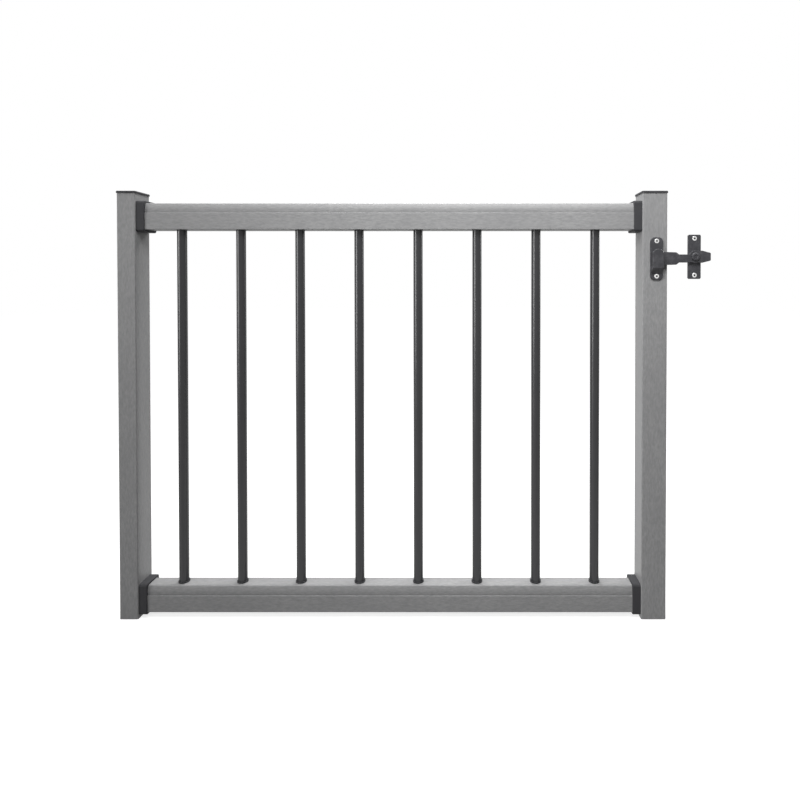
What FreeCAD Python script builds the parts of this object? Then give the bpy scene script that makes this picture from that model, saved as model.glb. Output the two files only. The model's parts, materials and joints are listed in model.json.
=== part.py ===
# Deck railing gate panel: two hollow posts, two moulded rails held by collar brackets,
# eight round balusters standing in foot rings, and a lever latch with its keeper.
# Millimetres. X runs from the hinge post to the latch post, Y from front to back, Z up.
# The origin lies on the hinge post's outer face, at mid-depth, level with the foot of the post.
import FreeCAD, Part
import os
import Sketcher

BALUSTER_COUNT = 8
COUNTERSINK_ANGLE = 90
NEAR = 0.001

# Driving dimensions: alias, value, what it is.
SIZES = [
    ("fit_gap", 0.2, "gap between pieces that slide together"),
    ("opening_width", 1010, "clear width between the posts"),
    ("hinge_post_width", 37, "hinge post across its front"),
    ("latch_post_width", 49.5, "latch post across its front"),
    ("post_depth", 50, "posts from front to back"),
    ("post_wall", 4, "wall of a post"),
    ("post_corner", 2, "radius of a post's arrises"),
    ("post_length", 855, "length of a post"),
    ("post_head", 19.3, "top rail's crown down from the post's top"),
    ("ground_gap", 11, "post's foot to the bottom rail's underside"),
    ("cap_overhang", 1.5, "cap beyond the post's faces"),
    ("cap_thickness", 4, "cap's plate"),
    ("cap_edge", 1.5, "rounding of the cap's upper edge"),
    ("spigot_depth", 16, "cap's spigot inside the post"),
    ("spigot_wall", 2, "wall of the cap's spigot"),
    ("plug_depth", 15, "plug inside the post's foot"),
    ("plug_wall", 2.5, "wall and floor of the plug"),
    ("rail_depth", 40, "rail from front to back"),
    ("rail_block_height", 33.5, "rail's flat lower block"),
    ("rail_crown_height", 19.5, "rail's leaning crown"),
    ("rail_step", 0.8, "crown's widest part set back from the block"),
    ("rail_undercut", 1.2, "crown's foot set back under its widest part"),
    ("rail_crown_rise", 8, "crown's widest part over the block"),
    ("rail_lean", 3.8, "crown's lean to its flat top"),
    ("rail_bend_radius", 28, "bend round the crown's widest part"),
    ("rail_shoulder", 3.2, "rounding of the crown's top edges"),
    ("rail_edge", 1, "rounding of the block's edges"),
    ("rail_wall", 7, "wall of a rail"),
    ("bracket_length", 16, "collar along the rail"),
    ("bracket_plate", 3, "collar's back plate on the post"),
    ("bracket_wall", 2.5, "collar's wall before and behind the rail"),
    ("bracket_cover", 4.3, "collar's wall over and under the rail"),
    ("bracket_corner", 5, "collar's four long edges"),
    ("bracket_edge", 1, "rounding of the collar's rim"),
    ("baluster_diameter", 19, "outside of a baluster"),
    ("baluster_wall", 1.5, "wall of a baluster"),
    ("baluster_insert", 20, "baluster inside each rail"),
    ("first_gap", 80.5, "hinge post's inner face to the first baluster's axis"),
    ("last_gap", 89.5, "last baluster's axis to the latch post's inner face"),
    ("ring_height", 3, "foot ring above the rail"),
    ("ring_flange", 1.3, "foot ring's flange round the baluster"),
    ("ring_neck_wall", 0.5, "foot ring's neck round the baluster"),
    ("ring_neck_depth", 6, "foot ring's neck inside the rail"),
    ("ring_edge", 0.6, "rounding of the foot ring"),
    ("latch_drop", 131, "keeper's centre down from the post's top"),
    ("screw_hole", 5, "screw hole's diameter"),
    ("screw_head", 9.5, "countersink's diameter"),
    ("keeper_offset", 2.75, "keeper's centre line off the latch post's, towards the lever"),
    ("pivot_spacing", 74.5, "keeper's centre line to the lever's axis"),
    ("bar_drop", 3.5, "lever's bolt and neck below its axis"),
    ("base_width", 25.5, "base plate across"),
    ("base_length", 88, "base plate up and down"),
    ("base_thickness", 4, "base plate from its post"),
    ("base_corner", 3, "base plate's corners"),
    ("base_rim", 1, "rounding of the base plate's front rim"),
    ("base_screw_inset", 7.5, "base plate's end to the screw's axis"),
    ("pivot_diameter", 8, "rivet's shank"),
    ("pivot_play", 0.08, "radial play of the lever on the rivet"),
    ("pivot_head_diameter", 17, "rivet's head"),
    ("pivot_head_height", 3.6, "rivet's head"),
    ("pivot_head_round", 2.8, "rounding of the rivet's head"),
    ("pivot_dimple", 8, "mouth of the dimple in the rivet's head"),
    ("pivot_dimple_depth", 1.2, "dimple in the rivet's head"),
    ("bar_gap", 0.3, "lever off the base plate and off the rivet's head"),
    ("bar_thickness", 5, "lever from front to back"),
    ("bar_hub", 25, "diameter of the lever's hub"),
    ("bar_neck_length", 32, "lever's axis to the end of its neck"),
    ("bar_neck_height", 16, "lever's neck"),
    ("bar_shoulder_length", 5.5, "slope from neck to bolt"),
    ("bar_shoulder_height", 24.5, "lever's bolt at its shoulder"),
    ("bar_reach", 85, "lever's axis to the end of its bolt"),
    ("bar_end_height", 27.5, "lever's bolt at its end"),
    ("thumb_root", 13.5, "lever's axis to the thumb piece's taper"),
    ("thumb_height", 24, "thumb piece at its root"),
    ("thumb_reach", 30.5, "lever's axis to the thumb piece's tip"),
    ("thumb_tip", 15.5, "thumb piece at its tip"),
    ("bar_corner", 2, "rounding of the lever's outline"),
    ("bar_edge", 1, "rounding of the lever's front"),
    ("keeper_width", 25.5, "keeper's plate across"),
    ("keeper_length", 85, "keeper's plate up and down"),
    ("keeper_thickness", 3, "keeper's plate from the latch post"),
    ("keeper_corner", 9.5, "corners of the keeper's plate"),
    ("keeper_rim", 1, "rounding of the front rim of the keeper's plate"),
    ("keeper_screw_inset", 7.5, "end of the keeper's plate to the screw's axis"),
    ("hook_width", 22, "keeper's hook across"),
    ("hook_rise", 19, "hook's arched top over the keeper's centre"),
    ("hook_chin", 19, "lower end of the hook's front wall under the keeper's centre"),
    ("hook_foot", 29.5, "hook's foot on its plate, under the keeper's centre"),
    ("hook_wall", 3, "hook's front wall"),
    ("hook_play", 1.5, "hook's front wall off the lever"),
    ("hook_rest", 0.3, "lever's bolt over the hook's shelf"),
    ("hook_edge", 1.2, "rounding of the hook's front"),
]

# Places worked out from the driving dimensions, as expressions.
POST_FRONT = "-(Sizes.post_depth / 2)"
HINGE_POST_X = "(Sizes.hinge_post_width / 2)"
LATCH_FACE_X = "(Sizes.hinge_post_width + Sizes.opening_width)"
LATCH_POST_X = f"({LATCH_FACE_X} + Sizes.latch_post_width / 2)"
RAIL_HEIGHT = "(Sizes.rail_block_height + Sizes.rail_crown_height)"
BOTTOM_RAIL_Z = "Sizes.ground_gap"
TOP_RAIL_Z = f"(Sizes.post_length - Sizes.post_head - {RAIL_HEIGHT})"
RAIL_INSET = "(Sizes.bracket_plate + Sizes.fit_gap)"
BALUSTER_RUN = "(Sizes.opening_width - Sizes.first_gap - Sizes.last_gap)"
BALUSTER_PITCH = f"({BALUSTER_RUN} / {BALUSTER_COUNT - 1})"
BALUSTER_HOLE = "(Sizes.baluster_diameter + 2 * Sizes.fit_gap)"
RING_NECK = f"({BALUSTER_HOLE} + 2 * Sizes.ring_neck_wall)"
RING_HOLE = f"({RING_NECK} + 2 * Sizes.fit_gap)"
LATCH_Z = "(Sizes.post_length - Sizes.latch_drop)"
KEEPER_X = f"({LATCH_POST_X} + Sizes.keeper_offset)"
PIVOT_X = f"({KEEPER_X} + Sizes.pivot_spacing)"
PIVOT_Z = f"({LATCH_Z} + Sizes.bar_drop)"
BAR_BACK = "(Sizes.base_thickness + Sizes.bar_gap)"
BAR_FRONT = f"({BAR_BACK} + Sizes.bar_thickness)"

doc = FreeCAD.newDocument("deck_gate_panel")
sheet = doc.addObject("Spreadsheet::Sheet", "Sizes")


def fill_sheet():
    """Write one row per driving dimension: its meaning, its number and its alias."""
    for row, (alias, number, meaning) in enumerate(SIZES, start=1):
        sheet.set(f"A{row}", meaning)
        sheet.set(f"B{row}", str(number))
        sheet.setAlias(f"B{row}", alias)
    doc.recompute()


def value(expression):
    return float(sheet.evalExpression(expression))


def minus(expression):
    return "0" if expression == "0" else f"-({expression})"


def new_body(label, x, y, z, turn=0):
    """A body placed by expressions, turned about the upright axis by some degrees."""
    body = doc.addObject("PartDesign::Body", label)
    body.Label = label
    upright = FreeCAD.Vector(0, 0, 1)
    body.Placement = FreeCAD.Placement(FreeCAD.Vector(), FreeCAD.Rotation(upright, turn))
    for axis, place in zip("xyz", (x, y, z)):
        body.setExpression(f"Placement.Base.{axis}", place)
    return body


def new_sketch(body, name, plane, lift="0"):
    """A sketch on one of the body's own origin planes, lifted along the plane's normal."""
    sketch = body.newObject("Sketcher::SketchObject", name)
    support = next(part for part in body.Origin.OriginFeatures if part.Role == plane)
    sketch.AttachmentSupport = [(support, "")]
    sketch.MapMode = "FlatFace"
    sketch.setExpression("AttachmentOffset.Base.z", lift)
    return sketch


def pin_point(sketch, geometry, point, x, y):
    """Hold a sketch point at x, y by dimensions bound to expressions, or on an axis at 0."""
    for kind, axis, place in (("DistanceX", -2, x), ("DistanceY", -1, y)):
        if place == "0":
            sketch.addConstraint(Sketcher.Constraint("PointOnObject", geometry, point, axis))
            continue
        index = sketch.addConstraint(
            Sketcher.Constraint(kind, -1, 1, geometry, point, value(place)))
        sketch.setExpression(f"Constraints[{index}]", place)


def draw_outline(sketch, corners):
    """A closed outline of straight lines through corners given as pairs of expressions."""
    points = [FreeCAD.Vector(value(x), value(y), 0) for x, y in corners]
    lines = []
    for start, end in zip(points, points[1:] + points[:1]):
        lines.append(sketch.addGeometry(Part.LineSegment(start, end), False))
    for line, following in zip(lines, lines[1:] + lines[:1]):
        sketch.addConstraint(Sketcher.Constraint("Coincident", line, 2, following, 1))
    for line, (x, y) in zip(lines, corners):
        pin_point(sketch, line, 1, x, y)


def draw_circle(sketch, x, y, diameter):
    centre = FreeCAD.Vector(value(x), value(y), 0)
    circle = sketch.addGeometry(
        Part.Circle(centre, FreeCAD.Vector(0, 0, 1), value(diameter) / 2), False)
    index = sketch.addConstraint(Sketcher.Constraint("Diameter", circle, value(diameter)))
    sketch.setExpression(f"Constraints[{index}]", diameter)
    if x == y == "0":
        sketch.addConstraint(Sketcher.Constraint("Coincident", circle, 3, -1, 1))
    else:
        pin_point(sketch, circle, 3, x, y)


def centred_box(width, height):
    """Corners of a rectangle about the sketch's origin."""
    right, top = f"({width}) / 2", f"({height}) / 2"
    return [(minus(right), minus(top)), (right, minus(top)), (right, top), (minus(right), top)]


def both_sides(right_corners):
    """An outline given by its right half, from bottom to top, and mirrored to the left."""
    return right_corners + [(minus(x), y) for x, y in reversed(right_corners)]


def add_feature(body, kind, name, **settings):
    """Add a feature, set it up, bind what is given as text in `bound`, and make it the tip."""
    bound = settings.pop("bound", {})
    feature = body.newObject(f"PartDesign::{kind}", name)
    for key, setting in settings.items():
        setattr(feature, key, setting)
    for key, expression in bound.items():
        feature.setExpression(key, expression)
    body.Tip = feature
    doc.recompute()
    return feature


def pad(body, name, sketch, length, **settings):
    return add_feature(body, "Pad", name, Profile=sketch, bound={"Length": length}, **settings)


def pocket(body, name, sketch, depth, **settings):
    """Cut away from the sketch's normal, and stop if nothing was cut."""
    before = body.Shape.Volume
    cut = add_feature(body, "Pocket", name, Profile=sketch, bound={"Length": depth}, **settings)
    if body.Shape.Volume > before - NEAR:
        raise RuntimeError(f"{body.Label}: {name} cut nothing")
    return cut


def round_edges(body, name, radius, chosen):
    """Round the tip's edges that the function `chosen` picks."""
    tip = body.Tip
    edges = [f"Edge{i}" for i, edge in enumerate(tip.Shape.Edges, start=1) if chosen(edge)]
    if not edges:
        raise RuntimeError(f"{body.Label}: no edge for {name}")
    return add_feature(body, "Fillet", name, Base=(tip, edges), bound={"Radius": radius})


def along(edge, axis):
    """True for a straight edge parallel to the axis named x, y or z."""
    if not isinstance(edge.Curve, Part.Line):
        return False
    return abs(abs(getattr(edge.Curve.Direction, axis)) - 1) < NEAR


def in_plane(shape, axis, place):
    """True for an edge or face that lies in the plane where the named axis has that value."""
    box = shape.BoundBox
    low, high = getattr(box, f"{axis.upper()}Min"), getattr(box, f"{axis.upper()}Max")
    return abs(low - place) < NEAR and abs(high - place) < NEAR


def outer_rim(body, axis, place):
    """The outer edges of the body's face that lies in the plane where the axis has that value."""
    face = next(face for face in body.Tip.Shape.Faces if in_plane(face, axis, place))
    return face.OuterWire.Edges


def passes(edge, places):
    """True for an edge parallel to X whose y and z match one of the places."""
    point = edge.Vertexes[0].Point
    return along(edge, "x") and any(
        abs(point.y - y) < NEAR and abs(point.z - z) < NEAR for y, z in places)


def at_both_sides(y, z):
    """The places (y, z) and (-y, z) in millimetres, for `passes`."""
    return [(value(y), value(z)), (-value(y), value(z))]


def post_bore(width, gap="0"):
    """Sides of the hollow in a post of that width, less a gap all round."""
    inward = f"2 * (Sizes.post_wall + {gap})"
    return f"({width} - {inward})", f"(Sizes.post_depth - {inward})"


def make_post(label, x, width):
    """A rectangular tube with rounded arrises, standing on the ground plane."""
    body = new_body(label, x, "0", "0")
    section = new_sketch(body, "section", "XY_Plane")
    draw_outline(section, centred_box(width, "Sizes.post_depth"))
    draw_outline(section, centred_box(*post_bore(width)))
    pad(body, "tube", section, "Sizes.post_length")
    face = value(f"{width} / 2")
    round_edges(body, "arrises", "Sizes.post_corner",
                lambda edge: along(edge, "z") and abs(abs(edge.Vertexes[0].X) - face) < NEAR)


def make_cap(label, x, width):
    """A thin flat cap with a hollow spigot that slides into the post."""
    body = new_body(label, x, "0", "Sizes.post_length")
    plate = new_sketch(body, "plate_outline", "XY_Plane")
    draw_outline(plate, centred_box(f"{width} + 2 * Sizes.cap_overhang",
                                    "Sizes.post_depth + 2 * Sizes.cap_overhang"))
    pad(body, "plate", plate, "Sizes.cap_thickness")
    round_edges(body, "corners", "Sizes.post_corner + Sizes.cap_overhang",
                lambda edge: along(edge, "z"))
    top = value("Sizes.cap_thickness")
    round_edges(body, "upper_edge", "Sizes.cap_edge", lambda edge: in_plane(edge, "z", top))
    spigot = new_sketch(body, "spigot_section", "XY_Plane")
    draw_outline(spigot, centred_box(*post_bore(width, "Sizes.fit_gap")))
    draw_outline(spigot, centred_box(*post_bore(width, "Sizes.fit_gap + Sizes.spigot_wall")))
    pad(body, "spigot", spigot, "Sizes.spigot_depth", Reversed=True)


def make_plug(label, x, width):
    """A cup that closes the post's foot, flush with its end."""
    body = new_body(label, x, "0", "0")
    outline = new_sketch(body, "outline", "XY_Plane")
    draw_outline(outline, centred_box(*post_bore(width, "Sizes.fit_gap")))
    pad(body, "block", outline, "Sizes.plug_depth")
    hollow = new_sketch(body, "hollow_outline", "XY_Plane", "Sizes.plug_depth")
    draw_outline(hollow, centred_box(*post_bore(width, "Sizes.fit_gap + Sizes.plug_wall")))
    pocket(body, "hollow", hollow, "Sizes.plug_depth - Sizes.plug_wall")


def rail_profile(gap="0"):
    """One side of a rail's section from its underside to its top, set out by a gap."""
    half = f"(Sizes.rail_depth / 2 + {gap})"
    crown = f"({half} - Sizes.rail_step)"
    foot = f"({crown} - Sizes.rail_undercut)"
    ledge = f"(Sizes.rail_block_height + {gap})"
    bend = "(Sizes.rail_block_height + Sizes.rail_crown_rise)"
    return [(half, minus(gap)), (half, ledge), (foot, ledge), (crown, bend),
            (f"({crown} - Sizes.rail_lean)", f"({RAIL_HEIGHT} + {gap})")]


def make_rail(label, z, hole, from_top):
    """A hollow moulded rail, drilled for the balusters from its underside or its top."""
    body = new_body(label, f"Sizes.hinge_post_width + {RAIL_INSET}", "0", z)
    profile = rail_profile()
    section = new_sketch(body, "section", "YZ_Plane")
    draw_outline(section, both_sides(profile))
    bore_half = "(Sizes.rail_depth / 2 - Sizes.rail_wall)"
    draw_outline(section, both_sides([
        (bore_half, "Sizes.rail_wall"), (bore_half, f"{RAIL_HEIGHT} - Sizes.rail_wall")]))
    pad(body, "moulding", section, f"Sizes.opening_width - 2 * {RAIL_INSET}")
    bends, shoulders = at_both_sides(*profile[3]), at_both_sides(*profile[4])
    block_edges = at_both_sides(*profile[0]) + at_both_sides(*profile[1])
    round_edges(body, "bends", "Sizes.rail_bend_radius", lambda edge: passes(edge, bends))
    round_edges(body, "shoulders", "Sizes.rail_shoulder", lambda edge: passes(edge, shoulders))
    round_edges(body, "block_edges", "Sizes.rail_edge", lambda edge: passes(edge, block_edges))
    drilling = new_sketch(body, "drilling", "XY_Plane", RAIL_HEIGHT if from_top else "0")
    draw_circle(drilling, f"Sizes.first_gap - {RAIL_INSET}", "0", hole)
    first = pocket(body, "first_hole", drilling, "Sizes.baluster_insert + Sizes.fit_gap",
                   Reversed=not from_top)
    add_feature(body, "LinearPattern", "holes", Originals=[first],
                Direction=(drilling, ["H_Axis"]), Mode="Spacing", Occurrences=BALUSTER_COUNT,
                bound={"Offset": BALUSTER_PITCH})


def make_bracket(label, x, rail_z, turn):
    """A collar open towards the rail, with its back plate on the post's inner face."""
    body = new_body(label, x, "0", rail_z, turn)
    cover = "Sizes.fit_gap + Sizes.bracket_cover"
    outer_half = "Sizes.rail_depth / 2 + Sizes.fit_gap + Sizes.bracket_wall"
    outer_top = f"{RAIL_HEIGHT} + {cover}"
    outline = new_sketch(body, "outline", "YZ_Plane")
    draw_outline(outline, both_sides([(outer_half, minus(cover)), (outer_half, outer_top)]))
    pad(body, "collar", outline, "Sizes.bracket_length")
    long_edges = at_both_sides(outer_half, outer_top) + at_both_sides(outer_half, minus(cover))
    round_edges(body, "corners", "Sizes.bracket_corner", lambda edge: passes(edge, long_edges))
    profile = rail_profile("Sizes.fit_gap")
    seat = new_sketch(body, "seat_outline", "YZ_Plane", "Sizes.bracket_length")
    draw_outline(seat, both_sides(profile))
    pocket(body, "seat", seat, "Sizes.bracket_length - Sizes.bracket_plate")
    shoulders, block_edges = at_both_sides(*profile[4]), at_both_sides(*profile[0])
    round_edges(body, "seat_shoulders", "Sizes.rail_shoulder", lambda edge: passes(edge, shoulders))
    round_edges(body, "seat_corners", "Sizes.rail_edge", lambda edge: passes(edge, block_edges))
    mouth = outer_rim(body, "x", value("Sizes.bracket_length"))
    round_edges(body, "rim", "Sizes.bracket_edge",
                lambda edge: any(edge.isSame(part) for part in mouth))


def baluster_x(index):
    return f"Sizes.hinge_post_width + Sizes.first_gap + {index} * {BALUSTER_PITCH}"


def make_baluster(index):
    """A round tube let into both rails."""
    foot = f"{BOTTOM_RAIL_Z} + {RAIL_HEIGHT} - Sizes.baluster_insert"
    body = new_body(f"baluster_{index + 1}", baluster_x(index), "0", foot)
    section = new_sketch(body, "section", "XY_Plane")
    draw_circle(section, "0", "0", "Sizes.baluster_diameter")
    draw_circle(section, "0", "0", "Sizes.baluster_diameter - 2 * Sizes.baluster_wall")
    pad(body, "tube", section, f"{TOP_RAIL_Z} + Sizes.baluster_insert - ({foot})")


def make_foot_ring(index):
    """A flanged ring in the bottom rail's hole, round the baluster's foot."""
    body = new_body(f"foot_ring_{index + 1}", baluster_x(index), "0",
                    f"{BOTTOM_RAIL_Z} + {RAIL_HEIGHT}")
    bore, neck = f"{BALUSTER_HOLE} / 2", f"{RING_NECK} / 2"
    rim = f"({BALUSTER_HOLE} / 2 + Sizes.ring_flange)"
    below = minus("Sizes.ring_neck_depth")
    profile = new_sketch(body, "profile", "XZ_Plane")
    draw_outline(profile, [(bore, below), (neck, below), (neck, "0"), (rim, "0"),
                           (rim, "Sizes.ring_height"), (bore, "Sizes.ring_height")])
    add_feature(body, "Revolution", "ring", Profile=profile,
                ReferenceAxis=(profile, ["V_Axis"]), Angle=360)
    top, reach = value("Sizes.ring_height"), value(rim)
    round_edges(body, "upper_edge", "Sizes.ring_edge",
                lambda edge: in_plane(edge, "z", top) and abs(edge.BoundBox.XMax - reach) < NEAR)


def drill_screws(body, thickness, place):
    """Two countersunk screw holes, above and below the centre of a plate's front face."""
    drilling = new_sketch(body, "screw_drilling", "XZ_Plane", thickness)
    for height in (place, minus(place)):
        draw_circle(drilling, "0", height, "Sizes.screw_hole")
    doc.recompute()
    add_feature(body, "Hole", "screw_holes", Profile=drilling, DepthType="ThroughAll",
                HoleCutType="Countersink", HoleCutCountersinkAngle=COUNTERSINK_ANGLE,
                bound={"Diameter": "Sizes.screw_hole", "HoleCutDiameter": "Sizes.screw_head"})


def make_screw_plate(label, x, z, kind):
    """A plate on a post's front face with two screw holes, sized by the aliases of its kind."""
    width, length, thickness, corner, rim, inset = (
        f"Sizes.{kind}_{size}"
        for size in ("width", "length", "thickness", "corner", "rim", "screw_inset"))
    body = new_body(label, x, POST_FRONT, z)
    outline = new_sketch(body, "outline", "XZ_Plane")
    draw_outline(outline, centred_box(width, length))
    pad(body, "plate", outline, thickness)
    round_edges(body, "corners", corner, lambda edge: along(edge, "y"))
    front = -value(thickness)
    round_edges(body, "front_rim", rim, lambda edge: in_plane(edge, "y", front))
    drill_screws(body, thickness, f"{length} / 2 - {inset}")
    return body


def make_latch_base():
    """The plate for the neighbouring post that carries the lever's rivet."""
    body = make_screw_plate("latch_base", PIVOT_X, PIVOT_Z, "base")
    bore = new_sketch(body, "rivet_bore", "XZ_Plane", "Sizes.base_thickness")
    draw_circle(bore, "0", "0", "Sizes.pivot_diameter")
    pocket(body, "rivet_hole", bore, "Sizes.base_thickness")


def make_latch_pivot():
    """The rivet set in the base plate, with a dimpled head in front of the lever."""
    body = new_body("latch_pivot", PIVOT_X, POST_FRONT, PIVOT_Z)
    shank, head = "Sizes.pivot_diameter / 2", "Sizes.pivot_head_diameter / 2"
    under_head = f"({BAR_FRONT} + Sizes.bar_gap)"
    crown = f"({under_head} + Sizes.pivot_head_height)"
    dimple = "Sizes.pivot_dimple / 2"
    dimple_floor = f"({crown} - Sizes.pivot_dimple_depth)"
    profile = new_sketch(body, "profile", "XY_Plane")
    draw_outline(profile, [
        ("0", "0"), (shank, "0"), (shank, minus(under_head)), (head, minus(under_head)),
        (head, minus(crown)), (dimple, minus(crown)),
        (f"{dimple} - Sizes.pivot_dimple_depth", minus(dimple_floor)), ("0", minus(dimple_floor))])
    add_feature(body, "Revolution", "rivet", Profile=profile,
                ReferenceAxis=(profile, ["V_Axis"]), Angle=360)
    front, reach = -value(crown), value(head)
    round_edges(body, "rounded_head", "Sizes.pivot_head_round",
                lambda edge: in_plane(edge, "y", front) and abs(edge.BoundBox.XMax - reach) < NEAR)


def make_latch_bar():
    """The lever that turns on the rivet: thumb piece, hub, neck, and the bolt in the hook."""
    body = new_body("latch_bar", PIVOT_X, f"{POST_FRONT} - {BAR_BACK}", PIVOT_Z)
    hub = new_sketch(body, "hub_outline", "XZ_Plane")
    draw_circle(hub, "0", "0", "Sizes.bar_hub")
    pad(body, "hub", hub, "Sizes.bar_thickness")
    shoulder = "(Sizes.bar_neck_length + Sizes.bar_shoulder_length)"
    # Along the lever: distance from its axis, height there, and drop of its middle line.
    stations = [(minus("Sizes.bar_reach"), "Sizes.bar_end_height", "Sizes.bar_drop"),
                (minus(shoulder), "Sizes.bar_shoulder_height", "Sizes.bar_drop"),
                (minus("Sizes.bar_neck_length"), "Sizes.bar_neck_height", "Sizes.bar_drop"),
                ("0", "Sizes.bar_neck_height", "Sizes.bar_drop"), ("0", "Sizes.thumb_height", "0"),
                ("Sizes.thumb_root", "Sizes.thumb_height", "0"),
                ("Sizes.thumb_reach", "Sizes.thumb_tip", "0")]
    lower = [(x, f"-({height} / 2) - {drop}") for x, height, drop in stations]
    upper = [(x, f"{height} / 2 - {drop}") for x, height, drop in reversed(stations)]
    arm = new_sketch(body, "arm_outline", "XZ_Plane")
    draw_outline(arm, lower + upper)
    pad(body, "arm", arm, "Sizes.bar_thickness")
    inside_hub = value("Sizes.bar_hub") / 4
    round_edges(body, "outline_corners", "Sizes.bar_corner",
                lambda edge: along(edge, "y") and abs(edge.Vertexes[0].X) > inside_hub)
    front = -value("Sizes.bar_thickness")
    round_edges(body, "front_edge", "Sizes.bar_edge", lambda edge: in_plane(edge, "y", front))
    bore = new_sketch(body, "bore_outline", "XZ_Plane", "Sizes.bar_thickness")
    draw_circle(bore, "0", "0", "Sizes.pivot_diameter + 2 * Sizes.pivot_play")
    pocket(body, "bore", bore, "Sizes.bar_thickness")


def make_latch_keeper():
    """The plate on the latch post, with an open-topped arched hook that holds the lever's bolt."""
    body = make_screw_plate("latch_keeper", KEEPER_X, LATCH_Z, "keeper")
    wall_back = f"({BAR_FRONT} + Sizes.hook_play)"
    wall_front = f"({wall_back} + Sizes.hook_wall)"
    shelf = "(Sizes.bar_end_height / 2 + Sizes.hook_rest)"
    inside_plate = "-(Sizes.keeper_thickness / 2)"
    section = new_sketch(body, "hook_section", "YZ_Plane")
    draw_outline(section, [
        (inside_plate, minus("Sizes.hook_foot")), (inside_plate, minus(shelf)),
        (minus(wall_back), minus(shelf)), (minus(wall_back), "Sizes.hook_rise"),
        (minus(wall_front), "Sizes.hook_rise"), (minus(wall_front), minus("Sizes.hook_chin")),
        (minus("Sizes.keeper_thickness"), minus("Sizes.hook_foot"))])
    pad(body, "hook", section, "Sizes.hook_width", SideType="Symmetric")
    top, front = value("Sizes.hook_rise"), -value(wall_front)
    round_edges(body, "arched_top", "Sizes.hook_width / 2 - Sizes.fit_gap",
                lambda edge: along(edge, "y") and abs(edge.Vertexes[0].Z - top) < NEAR)
    face = outer_rim(body, "y", front)
    round_edges(body, "hook_front", "Sizes.hook_edge",
                lambda edge: any(edge.isSame(part) for part in face))


def build():
    fill_sheet()
    for name, x in (("hinge_post", HINGE_POST_X), ("latch_post", LATCH_POST_X)):
        width = f"Sizes.{name}_width"
        make_post(name, x, width)
        make_cap(f"{name}_cap", x, width)
        make_plug(f"{name}_plug", x, width)
    make_rail("top_rail", TOP_RAIL_Z, BALUSTER_HOLE, from_top=False)
    make_rail("bottom_rail", BOTTOM_RAIL_Z, RING_HOLE, from_top=True)
    sides = (("hinge_side", "Sizes.hinge_post_width", 0), ("latch_side", LATCH_FACE_X, 180))
    for side, face_x, turn in sides:
        make_bracket(f"top_bracket_{side}", face_x, TOP_RAIL_Z, turn)
        make_bracket(f"bottom_bracket_{side}", face_x, BOTTOM_RAIL_Z, turn)
    for index in range(BALUSTER_COUNT):
        make_baluster(index)
        make_foot_ring(index)
    make_latch_base()
    make_latch_pivot()
    make_latch_bar()
    make_latch_keeper()
    doc.recompute()


def check_and_write():
    """Stop on any failed object or bad shape, then write one file per sub-part."""
    failed = [item.Name for item in doc.Objects
              if "Invalid" in item.State or "Error" in item.State]
    if failed:
        raise RuntimeError(f"failed objects: {failed}")
    bodies = [item for item in doc.Objects if item.TypeId == "PartDesign::Body"]
    for body in bodies:
        if body.Shape.isNull() or not body.Shape.isValid() or len(body.Shape.Solids) != 1:
            raise RuntimeError(f"bad shape: {body.Label}")
    os.makedirs("parts", exist_ok=True)
    for body in bodies:
        body.Shape.exportStep(f"parts/{body.Label}.step")
        print(f"{body.Label}: {body.Shape.Volume / 1000:.1f} cm3")


build()
check_and_write()
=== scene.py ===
# %% [markdown]
# # A deck railing gate panel, dressed for its picture
#
# The panel comes in as finished solids: two posts, two moulded rails, eight round balusters,
# collars, caps and a lever latch. They are already in place, in metres, with X along the panel,
# Y from front to back and Z up. What is left for Blender is what the eye reads next: the finish of
# every surface, the screws, the light and the camera.

# %% Load the solids
import json
import math

import bmesh
import bpy
from mathutils import Matrix, Vector


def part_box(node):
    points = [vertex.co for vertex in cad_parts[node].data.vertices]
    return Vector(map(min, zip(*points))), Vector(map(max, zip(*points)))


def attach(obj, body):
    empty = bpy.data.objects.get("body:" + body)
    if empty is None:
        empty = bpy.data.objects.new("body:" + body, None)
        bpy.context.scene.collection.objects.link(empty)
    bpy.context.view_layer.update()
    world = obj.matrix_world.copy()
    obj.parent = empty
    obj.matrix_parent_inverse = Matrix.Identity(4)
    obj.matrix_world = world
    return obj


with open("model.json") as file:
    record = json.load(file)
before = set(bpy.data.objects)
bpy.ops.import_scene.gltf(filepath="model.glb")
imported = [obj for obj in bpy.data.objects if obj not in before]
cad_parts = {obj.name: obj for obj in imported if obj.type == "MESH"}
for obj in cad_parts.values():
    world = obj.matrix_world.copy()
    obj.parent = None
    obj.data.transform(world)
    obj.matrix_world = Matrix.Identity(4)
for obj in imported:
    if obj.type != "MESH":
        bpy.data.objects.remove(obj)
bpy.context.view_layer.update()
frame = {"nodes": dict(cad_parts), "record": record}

# %% [markdown]
# ## Three small tools for every finish
#
# Colours are easiest to pick as hex values, the way a paint chart gives them. A shader wants linear
# light, so one function undoes the screen's curve.
#
# Shader trees are easiest to read when each node is one statement. One function adds a node of any
# kind: names given as keywords are the node's own settings, and the dictionary fills its sockets,
# either with a value or with a link from another node's output. A third function makes an empty
# material to add the nodes to.

# %% Colour and node helpers
def paint(code):
    """A hex colour as linear red, green, blue and alpha."""
    channels = [int(code[i:i + 2], 16) / 255 for i in (1, 3, 5)]
    linear = [c / 12.92 if c <= 0.04045 else ((c + 0.055) / 1.055) ** 2.4 for c in channels]
    return (*linear, 1.0)


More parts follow.
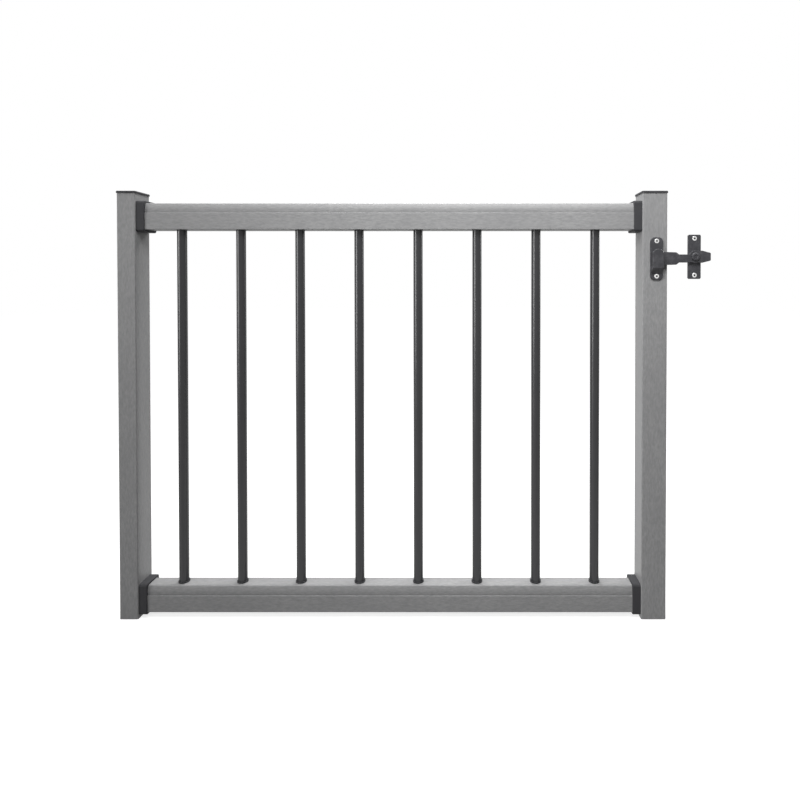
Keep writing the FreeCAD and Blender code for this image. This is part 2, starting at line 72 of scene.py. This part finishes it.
def add(tree, kind, inputs=None, **settings):
    """Add a node with its settings, and set or link the sockets named or numbered in inputs."""
    item = tree.nodes.new(kind)
    for name, setting in settings.items():
        setattr(item, name, setting)
    for name, source in (inputs or {}).items():
        if isinstance(source, bpy.types.NodeSocket):
            tree.links.new(source, item.inputs[name])
        else:
            item.inputs[name].default_value = source
    return item


def new_material(name):
    """An empty node material and its tree."""
    material = bpy.data.materials.new(name)
    material.use_nodes = True
    material.node_tree.nodes.clear()
    return material, material.node_tree


print("mid grey 8a8a8a is", round(paint("#8a8a8a")[0], 3), "in linear light")

# %% [markdown]
# ## Grain that runs along the piece
#
# Posts and rails are extruded: the material is pushed through a die, and a roller presses a fine
# wood grain into the warm skin, in short flecks: narrow across the piece and a few times as long
# along it. A noise pattern gives that when its coordinates are stretched, so the scale of each axis
# comes from a grain size in millimetres: object coordinates are in metres, and 1000 / size repeats
# the pattern once every size millimetres.

# %% Pattern sizes in millimetres
GRAIN_ACROSS, GRAIN_ALONG = 3, 10
LEVEL, UPRIGHT = 0, 2    # the axis that the grain runs along: X or Z


def per_mm(size):
    """Pattern scale that gives features of this size in millimetres."""
    return 1000 / size


def grain_scale(axis):
    """Scale of each axis for grain that runs along this one."""
    return [per_mm(GRAIN_ALONG if i == axis else GRAIN_ACROSS) for i in range(3)]


print("scale of grain along Z:", [round(s, 1) for s in grain_scale(UPRIGHT)])

# %% [markdown]
# ## Capped composite: posts and rails
#
# The grey pieces are wood-plastic composite with a co-extruded plastic cap. The cap is satin, a
# little uneven in tone from batch mixing, with a shallow pressed grain. Paint alone would look like
# a flat board, so three layers are mixed: slow clouds of tone, short streaks of grain, and a bump
# that catches light along the same streaks. Real flecks are under 1 mm wide and would vanish in a
# full view of the panel, so they are drawn about three times as wide as they are.

# %% Composite finish
NOISE_RANGE = {"From Min": 0.3, "From Max": 0.7}    # a noise swings about 0.5 and seldom leaves this


def composite(name, axis):
    material, tree = new_material(name)
    place = add(tree, "ShaderNodeTexCoord").outputs["Object"]
    lines = add(tree, "ShaderNodeMapping", {"Vector": place, "Scale": grain_scale(axis)})
    streaks = add(tree, "ShaderNodeTexNoise", {"Vector": lines.outputs[0], "Scale": 1.0,
                                               "Detail": 5.0, "Roughness": 0.62})
    clouds = add(tree, "ShaderNodeTexNoise", {"Vector": place, "Scale": per_mm(140),
                                              "Detail": 2.0, "Roughness": 0.5})
    # Grain tone: a darker and a lighter mix of the same grey.
    streak_level = add(tree, "ShaderNodeMapRange", {"Value": streaks.outputs[0], **NOISE_RANGE})
    tone = add(tree, "ShaderNodeMix", {"Factor": streak_level.outputs[0], "A": paint("#7d7d7e"),
                                       "B": paint("#939393")}, data_type="RGBA")
    # Batch tone: slow clouds, a little darker.
    cloud_level = add(tree, "ShaderNodeMapRange", {"Value": clouds.outputs[0], **NOISE_RANGE,
                                                   "To Min": 0.0, "To Max": 0.35})
    skin = add(tree, "ShaderNodeMix", {"Factor": cloud_level.outputs[0], "A": tone.outputs["Result"],
                                       "B": paint("#7c7c7d")}, data_type="RGBA")
    gloss = add(tree, "ShaderNodeMapRange", {"Value": streaks.outputs[0], **NOISE_RANGE,
                                             "To Min": 0.44, "To Max": 0.56})
    relief = add(tree, "ShaderNodeBump", {"Height": streaks.outputs[0], "Strength": 0.35,
                                          "Distance": 0.0004})
    cap = add(tree, "ShaderNodeBsdfPrincipled", {
        "Base Color": skin.outputs["Result"], "Roughness": gloss.outputs[0],
        "Normal": relief.outputs[0], "Specular IOR Level": 0.3})
    add(tree, "ShaderNodeOutputMaterial", {"Surface": cap.outputs[0]})
    return material


upright_composite = composite("capped_composite_upright_grain", UPRIGHT)
level_composite = composite("capped_composite_level_grain", LEVEL)
print("made", upright_composite.name, "and", level_composite.name)

# %% [markdown]
# ## Glass-filled nylon: caps, plugs, collars and foot rings
#
# The black fittings are injection moulded. Their tool is spark eroded, which leaves an even, fine
# pebble that scatters light, so the surface is matt and reads as very dark grey. A fine noise gives
# the pebble, and a broad one, 18 mm across, mottles tone and gloss a little. A 0.4 mm pebble is too
# fine for this view and is drawn at 1.2 mm.

# %% Nylon finish
def moulded_nylon(name):
    material, tree = new_material(name)
    place = add(tree, "ShaderNodeTexCoord").outputs["Object"]
    pebble = add(tree, "ShaderNodeTexNoise", {"Vector": place, "Scale": per_mm(1.2), "Detail": 3.0})
    bloom = add(tree, "ShaderNodeTexNoise", {"Vector": place, "Scale": per_mm(18), "Detail": 3.0})
    tone = add(tree, "ShaderNodeMix", {"Factor": bloom.outputs[0], "A": paint("#363638"),
                                       "B": paint("#404042")}, data_type="RGBA")
    gloss = add(tree, "ShaderNodeMapRange", {"Value": bloom.outputs[0], **NOISE_RANGE,
                                             "To Min": 0.52, "To Max": 0.66})
    relief = add(tree, "ShaderNodeBump", {"Height": pebble.outputs[0], "Strength": 0.3,
                                          "Distance": 0.0002})
    moulding = add(tree, "ShaderNodeBsdfPrincipled", {
        "Base Color": tone.outputs["Result"], "Roughness": gloss.outputs[0],
        "Normal": relief.outputs[0], "Specular IOR Level": 0.12})
    add(tree, "ShaderNodeOutputMaterial", {"Surface": moulding.outputs[0]})
    return material


nylon = moulded_nylon("glass_filled_nylon_black")
print("made", nylon.name)

# %% [markdown]
# ## Powder-coated aluminium: the balusters
#
# The tubes are sprayed with dry powder that melts into one skin. It flows out smooth but not
# mirror-flat: the slow waves left in it are called orange peel, a few millimetres across, and they
# make the long highlight on a tube waver slightly. So the bump is broad and very shallow. The paint
# itself is almost black: most of what the eye sees on a tube is what its gloss reflects, the white
# studio and one bright line from a lamp.

# %% Powder-coat finish
def powder_coat(name):
    material, tree = new_material(name)
    place = add(tree, "ShaderNodeTexCoord").outputs["Object"]
    peel = add(tree, "ShaderNodeTexNoise", {"Vector": place, "Scale": per_mm(3.5), "Detail": 1.5})
    dust = add(tree, "ShaderNodeTexNoise", {"Vector": place, "Scale": per_mm(60), "Detail": 4.0})
    tone = add(tree, "ShaderNodeMix", {"Factor": dust.outputs[0], "A": paint("#28282a"),
                                       "B": paint("#303032")}, data_type="RGBA")
    gloss = add(tree, "ShaderNodeMapRange", {"Value": dust.outputs[0], **NOISE_RANGE,
                                             "To Min": 0.2, "To Max": 0.27})
    relief = add(tree, "ShaderNodeBump", {"Height": peel.outputs[0], "Strength": 0.2,
                                          "Distance": 0.0003})
    coat = add(tree, "ShaderNodeBsdfPrincipled", {
        "Base Color": tone.outputs["Result"], "Roughness": gloss.outputs[0],
        "Normal": relief.outputs[0], "Specular IOR Level": 0.36})
    add(tree, "ShaderNodeOutputMaterial", {"Surface": coat.outputs[0]})
    return material


tube_coat = powder_coat("powder_coated_aluminium_black")
print("made", tube_coat.name)

# %% [markdown]
# ## Textured coating on steel: the latch
#
# The latch is handled, so its makers use a coarse, sandy coating that hides scratches. It is a shade
# lighter than the tubes. Hands and the rubbing lever polish it unevenly: a second noise mixes in
# slightly lighter, smoother patches. The sand is drawn at 1.6 mm, about twice its real size, so
# that it still breaks up the highlight in this view.

# %% Latch finish
def sand_coat(name):
    material, tree = new_material(name)
    place = add(tree, "ShaderNodeTexCoord").outputs["Object"]
    sand = add(tree, "ShaderNodeTexVoronoi", {"Vector": place, "Scale": per_mm(1.6)})
    rubbed = add(tree, "ShaderNodeTexNoise", {"Vector": place, "Scale": per_mm(14), "Detail": 4.0,
                                              "Roughness": 0.6})
    worn = add(tree, "ShaderNodeMapRange", {"Value": rubbed.outputs[0], "From Min": 0.45,
                                            "From Max": 0.75})
    tone = add(tree, "ShaderNodeMix", {"Factor": worn.outputs[0], "A": paint("#3b3b3e"),
                                       "B": paint("#505053")}, data_type="RGBA")
    gloss = add(tree, "ShaderNodeMapRange", {"Value": worn.outputs[0], "To Min": 0.5,
                                             "To Max": 0.36})
    relief = add(tree, "ShaderNodeBump", {"Height": sand.outputs["Distance"], "Strength": 0.25,
                                          "Distance": 0.0003})
    coat = add(tree, "ShaderNodeBsdfPrincipled", {
        "Base Color": tone.outputs["Result"], "Roughness": gloss.outputs[0],
        "Normal": relief.outputs[0], "Specular IOR Level": 0.2})
    add(tree, "ShaderNodeOutputMaterial", {"Surface": coat.outputs[0]})
    return material


latch_coat = sand_coat("textured_coated_steel_black")
print("made", latch_coat.name)

# %% [markdown]
# ## Give each solid its finish
#
# The record names a material slot for every node. The slot decides the finish, and for the
# composite the piece itself decides which way the grain runs: posts stand, rails lie.

# %% Dress the solids
finishes = {"black_nylon": nylon, "black_tube": tube_coat, "black_latch": latch_coat}
for subpart in frame["record"]["subparts"]:
    node, slot = subpart["node"], subpart["material_slot"]
    lying = node.endswith("rail")
    finish = finishes.get(slot) or (level_composite if lying else upright_composite)
    mesh = frame["nodes"][node].data
    mesh.materials.clear()
    mesh.materials.append(finish)

# %% [markdown]
# ## Stainless steel: the screws
#
# Four bright countersunk screws hold the two latch plates. Bare stainless is a metal, so it has no
# paint colour of its own: it mirrors the studio, softened by fine turning marks. The marks are
# rings, but at this size they only blur the reflection, so roughness does the work and a little
# noise keeps it from being even. The walls and floor of the star-shaped drive get a dark finish of
# their own, which is painted shade that darkens the recess.

# %% Screw finishes
def bare_steel(name):
    material, tree = new_material(name)
    place = add(tree, "ShaderNodeTexCoord").outputs["Object"]
    smears = add(tree, "ShaderNodeTexNoise", {"Vector": place, "Scale": per_mm(2), "Detail": 3.0})
    gloss = add(tree, "ShaderNodeMapRange", {"Value": smears.outputs[0], **NOISE_RANGE,
                                             "To Min": 0.24, "To Max": 0.38})
    tone = add(tree, "ShaderNodeMix", {"Factor": smears.outputs[0], "A": paint("#d6d6d5"),
                                       "B": paint("#e4e4e4")}, data_type="RGBA")
    metal = add(tree, "ShaderNodeBsdfPrincipled", {
        "Base Color": tone.outputs["Result"], "Roughness": gloss.outputs[0], "Metallic": 1.0})
    add(tree, "ShaderNodeOutputMaterial", {"Surface": metal.outputs[0]})
    return material


# Painted shade: a near-black, speckled finish for the drive's walls and floor, to darken the recess.
def drive_painted_shade(name):
    material, tree = new_material(name)
    place = add(tree, "ShaderNodeTexCoord").outputs["Object"]
    shade_speckle = add(tree, "ShaderNodeTexNoise", {"Vector": place, "Scale": per_mm(0.8), "Detail": 3.0})
    tone = add(tree, "ShaderNodeMix", {"Factor": shade_speckle.outputs[0], "A": paint("#161615"),
                                       "B": paint("#33322f")}, data_type="RGBA")
    shade_surface = add(tree, "ShaderNodeBsdfPrincipled", {
        "Base Color": tone.outputs["Result"], "Roughness": 0.8})
    add(tree, "ShaderNodeOutputMaterial", {"Surface": shade_surface.outputs[0]})
    return material


steel = bare_steel("stainless_steel_turned")
drive_shade = drive_painted_shade("painted_shade_in_screw_drive")
print("made", steel.name, "and", drive_shade.name)

# %% [markdown]
# ## One screw head, ring by ring
#
# A screw head is a turned part, so it could be spun from a profile. Its drive isn't round, though,
# so this one grows from a single circle instead: extruding the rim again and again gives the cone
# under the head, the rounded edge, the low dome and the walls of the drive. The head's last ring and
# the drive's two have 24 points each. Every fourth point stays, and the three between are squeezed
# towards the axis, the middle one most: that turns the round drive into a star with six points. The
# head is made in millimetres, standing on its axis, then turned to face the front and moved to its
# hole.

# %% Screw sizes and rings
RING_POINTS = 24
POINTS_PER_LOBE = 4
# Radius and height of each ring, from the cone's small end to the floor of the drive.
HEAD_RINGS = [(2.3, -2.2), (4.45, -0.1), (4.55, 0.02), (4.5, 0.16), (4.3, 0.28), (3.6, 0.42),
              (2.25, 0.5)]
DRIVE_RINGS = [(2.1, 0.36), (1.9, -1.3)]
# How far the three points between two star points are squeezed.
STAR_FLANK, STAR_WAIST = 0.86, 0.72
SQUEEZES = {1: STAR_FLANK, 2: STAR_WAIST, 3: STAR_FLANK}


def next_ring(bm, rim, radius, height):
    """Extrude a rim of edges and bring the new ring to this radius and height."""
    made = bmesh.ops.extrude_edge_only(bm, edges=rim)["geom"]
    points = [item for item in made if isinstance(item, bmesh.types.BMVert)]
    grow = radius / points[0].co.xy.length
    bmesh.ops.scale(bm, vec=(grow, grow, 1), verts=points)
    bmesh.ops.translate(bm, vec=(0, 0, height - points[0].co.z), verts=points)
    return [item for item in made if isinstance(item, bmesh.types.BMEdge)
            and all(point in points for point in item.verts)]


print("screw head:", len(HEAD_RINGS), "rings, drive:", len(DRIVE_RINGS), "rings")

# %% Screw head shape
def grow_head(bm):
    """Grow a head with its star drive in this bmesh, and return how many faces are bright steel."""
    radius, height = HEAD_RINGS[0]
    bmesh.ops.create_circle(bm, segments=RING_POINTS, radius=radius, cap_ends=True)
    bmesh.ops.translate(bm, vec=(0, 0, height), verts=bm.verts)
    rim = list(bm.edges)
    for radius, height in HEAD_RINGS[1:]:
        rim = next_ring(bm, rim, radius, height)
    head_faces = len(bm.faces)
    star = [point for edge in rim for point in edge.verts]
    for radius, height in DRIVE_RINGS:
        rim = next_ring(bm, rim, radius, height)
        star += [point for edge in rim for point in edge.verts]
    bmesh.ops.edgeloop_fill(bm, edges=rim)
    step = 2 * math.pi / RING_POINTS
    for offset, squeeze in SQUEEZES.items():
        pinched = {point for point in star
                   if round(math.atan2(point.co.y, point.co.x) / step) % POINTS_PER_LOBE == offset}
        bmesh.ops.scale(bm, vec=(squeeze, squeeze, 1), verts=list(pinched))
    bmesh.ops.recalc_face_normals(bm, faces=bm.faces)
    return head_faces


trial = bmesh.new()
print(grow_head(trial), "of", len(trial.faces), "faces of a screw are bright steel")
trial.free()

# %% [markdown]
# ## Four screws in their plates
#
# Each latch plate has two holes on its middle line, one above and one below. The plates' boxes are
# measured, so the screws follow the plates. A screw stops where it is tight, not where it looks
# neat, so each star is turned by another angle.

# %% Place the screws
MM = 0.001
SHARP_DEGREES = 40
# Plate, its thickness from the post's front face, and its screws off the plate's centre, in metres.
PLATES = [("latch_keeper", 0.003, 0.035), ("latch_base", 0.004, 0.0365)]
SCREW_TURNS = {"latch_keeper_upper": 12, "latch_keeper_lower": 41, "latch_base_upper": 27,
               "latch_base_lower": 55}


def screw_head(name, place, turn):
    """A countersunk screw head with a star drive, facing the front at this place in metres."""
    bm = bmesh.new()
    head_faces = grow_head(bm)
    for index, face in enumerate(bm.faces):
        # Head faces take the steel, and the drive's faces take the painted shade.
        face.material_index = 0 if index < head_faces else 1
        face.smooth = True
    bmesh.ops.scale(bm, vec=(MM, MM, MM), verts=bm.verts)
    bmesh.ops.rotate(bm, matrix=Matrix.Rotation(math.radians(turn), 3, "Z"), verts=bm.verts)
    bmesh.ops.rotate(bm, matrix=Matrix.Rotation(math.radians(90), 3, "X"), verts=bm.verts)
    bmesh.ops.translate(bm, vec=place, verts=bm.verts)
    mesh = bpy.data.meshes.new(name)
    bm.to_mesh(mesh)
    bm.free()
    mesh.set_sharp_from_angle(angle=math.radians(SHARP_DEGREES))
    for finish in (steel, drive_shade):
        mesh.materials.append(finish)
    screw = bpy.data.objects.new(name, mesh)
    bpy.context.scene.collection.objects.link(screw)
    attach(screw, "panel")
    return screw


post_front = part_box("latch_post")[0].y
for plate, thickness, offset in PLATES:
    low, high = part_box(plate)
    for level, side in (("upper", 1), ("lower", -1)):
        place = Vector(((low.x + high.x) / 2, post_front - thickness,
                        (low.z + high.z) / 2 + side * offset))
        label = f"{plate}_{level}"
        screw = screw_head(f"{label}_screw", place, SCREW_TURNS[label])
        print(screw.name, "at", [round(v, 4) for v in place], len(screw.data.polygons), "faces")

# %% [markdown]
# ## A white studio
#
# The panel stands in front of plain white. A white floor that is only lit would turn grey where the
# light fades, and more lamp light would bleach the panel, so the floor does two jobs. For the camera
# and for reflections it is mostly its own white, with a part that still takes light, which keeps the
# soft shadow at the panel's foot. Its own share grows with the distance, as the lamps' share fades.
# For every other ray it is ordinary grey paper that bounces a little light up. The world behind it
# works the same way.

# %% Studio paper
FLOOR_CENTRE = Vector((0.55, 0, 0))
GLOW_NEAR, GLOW_FAR = 0.80, 0.96
NEAR, FAR = 0.8, 4.0    # metres from the centre between which the glow grows


def seen_directly(tree):
    """1 for rays from the camera, from glossy and from clear surfaces, else 0."""
    path = add(tree, "ShaderNodeLightPath")
    direct = path.outputs["Is Camera Ray"]
    for kind in ("Is Glossy Ray", "Is Transmission Ray"):
        direct = add(tree, "ShaderNodeMath", {0: direct, 1: path.outputs[kind]},
                     operation="MAXIMUM").outputs[0]
    return direct


paper, paper_tree = new_material("white_studio_paper")
bounce = add(paper_tree, "ShaderNodeBsdfDiffuse", {"Color": paint("#6a6a6a")})
lit = add(paper_tree, "ShaderNodeBsdfDiffuse", {"Color": paint("#aaaaaa")})
spot = add(paper_tree, "ShaderNodeTexCoord").outputs["Object"]
away = add(paper_tree, "ShaderNodeVectorMath", {0: spot, 1: FLOOR_CENTRE}, operation="DISTANCE")
level = add(paper_tree, "ShaderNodeMapRange", {
    "Value": away.outputs["Value"], "From Min": NEAR, "From Max": FAR, "To Min": GLOW_NEAR,
    "To Max": GLOW_FAR}, interpolation_type="SMOOTHSTEP")
glow = add(paper_tree, "ShaderNodeEmission", {"Strength": level.outputs[0]})
shown = add(paper_tree, "ShaderNodeAddShader", {0: lit.outputs[0], 1: glow.outputs[0]})
surface = add(paper_tree, "ShaderNodeMixShader", {
    "Fac": seen_directly(paper_tree), 1: bounce.outputs[0], 2: shown.outputs[0]})
add(paper_tree, "ShaderNodeOutputMaterial", {"Surface": surface.outputs[0]})
print("made", paper.name)

# %% Floor
FLOOR_RADIUS, FLOOR_POINTS = 14, 64
FLOOR_DROP = Vector((0, 0, -0.0004))    # a hair below the posts' feet, so that no two faces coincide

bm = bmesh.new()
bmesh.ops.create_circle(bm, segments=FLOOR_POINTS, radius=FLOOR_RADIUS, cap_ends=True)
bmesh.ops.translate(bm, vec=FLOOR_CENTRE + FLOOR_DROP, verts=bm.verts)
floor_mesh = bpy.data.meshes.new("floor")
bm.to_mesh(floor_mesh)
bm.free()
floor_mesh.materials.append(paper)
floor = bpy.data.objects.new("floor", floor_mesh)
bpy.context.scene.collection.objects.link(floor)
print("floor radius:", FLOOR_RADIUS, "m")

# %% World
AMBIENT = 0.11
WHITE = paint("#ffffff")

world = bpy.data.worlds.new("white_studio")
world.use_nodes = True
sky = world.node_tree
sky.nodes.clear()
ambient = add(sky, "ShaderNodeBackground", {"Color": WHITE, "Strength": AMBIENT})
white = add(sky, "ShaderNodeBackground", {"Color": WHITE, "Strength": 1.0})
mixed = add(sky, "ShaderNodeMixShader", {"Fac": seen_directly(sky), 1: ambient.outputs[0],
                                         2: white.outputs[0]})
add(sky, "ShaderNodeOutputWorld", {"Surface": mixed.outputs[0]})
bpy.context.scene.world = world
print("ambient light:", AMBIENT)

# %% [markdown]
# ## Six softboxes
#
# The top rail is the brightest, and the light fades towards the foot, so most of it comes from above.
# A wide softbox hangs over the panel, and another hangs high behind it, for the back. A third hangs
# above the camera, in front of the panel, and is aimed at the top rail. A large one stands far off at
# the front left: it lights the faces that look left and draws one bright line down the left of each
# tube. A tube mirrors it only near the top, so a narrow one that stands on the floor, much nearer,
# carries the line further down on the tubes at the right. A small one at the right lights the outer
# face of the latch post.
#
# A bare softbox spills its light to all sides. Photographers put a grid in front of it to keep the
# light in a cone, and the lamp's spread angle does the same here. All of the light then goes into the
# cone, so a lamp with a narrow spread needs few watts.

# %% Lamps
def softbox(name, place, target, size, watts, spread=180):
    """A softbox of this width and height, aimed at a target. A spread under 180 degrees is a grid."""
    light = bpy.data.lights.new(name, "AREA")
    light.shape = "RECTANGLE"
    light.size, light.size_y = size
    light.energy = watts
    light.spread = math.radians(spread)
    lamp = bpy.data.objects.new(name, light)
    lamp.location = place
    lamp.rotation_euler = (Vector(target) - Vector(place)).to_track_quat("-Z", "Y").to_euler()
    lamp.visible_camera = False
    bpy.context.scene.collection.objects.link(lamp)
    return lamp


softbox("front_softbox", (0.76, -0.86, 1.79), (0.77, 0, 0.85), size=(1.0, 0.5), watts=7.6, spread=90)
softbox("top_softbox", (0.25, 0.1, 2.4), (0.35, 0, 0), size=(1.6, 0.8), watts=40)
softbox("left_softbox", (-2.4, -2.0, 1.1), (1.0, 0, 0.75), size=(1.6, 2.0), watts=6.6, spread=45)
softbox("low_softbox", (-0.35, -0.8, 0.42), (0.98, 0, 0.34), size=(0.25, 0.82), watts=0.2, spread=38)
softbox("back_softbox", (0.55, 1.4, 2.2), (0.55, 0, 0.4), size=(1.2, 0.8), watts=32)
softbox("right_softbox", (1.95, 0.5, 0.95), (1.09, 0, 0.45), size=(0.4, 0.8), watts=1.8, spread=60)

# %% [markdown]
# ## The camera
#
# The posts stand almost parallel in the picture, yet their inner faces show by different amounts:
# the lens looks straight ahead from a little right of the middle and from just below the height of
# the latch, and the picture is cut from the lower left of its view. Lens shift does just that. A
# downward tilt of less than one degree gives the posts their slight taper.

# %% Camera
VIEWPOINT = (0.709, -1.145, 0.677)
LENS, SENSOR = 25.29, 36    # millimetres
SHIFT_X, SHIFT_Y = -0.091, -0.138    # shares of the picture's width
TILT_DOWN = 0.75    # degrees

camera_data = bpy.data.cameras.new("view")
camera_data.lens, camera_data.sensor_width = LENS, SENSOR
camera_data.shift_x, camera_data.shift_y = SHIFT_X, SHIFT_Y
camera = bpy.data.objects.new("view", camera_data)
camera.location = VIEWPOINT
camera.rotation_euler = (math.radians(90 - TILT_DOWN), 0, 0)
bpy.context.scene.collection.objects.link(camera)
bpy.context.scene.camera = camera
bpy.context.scene.view_settings.view_transform = "Standard"
print("camera at", VIEWPOINT, "lens", LENS, "mm")
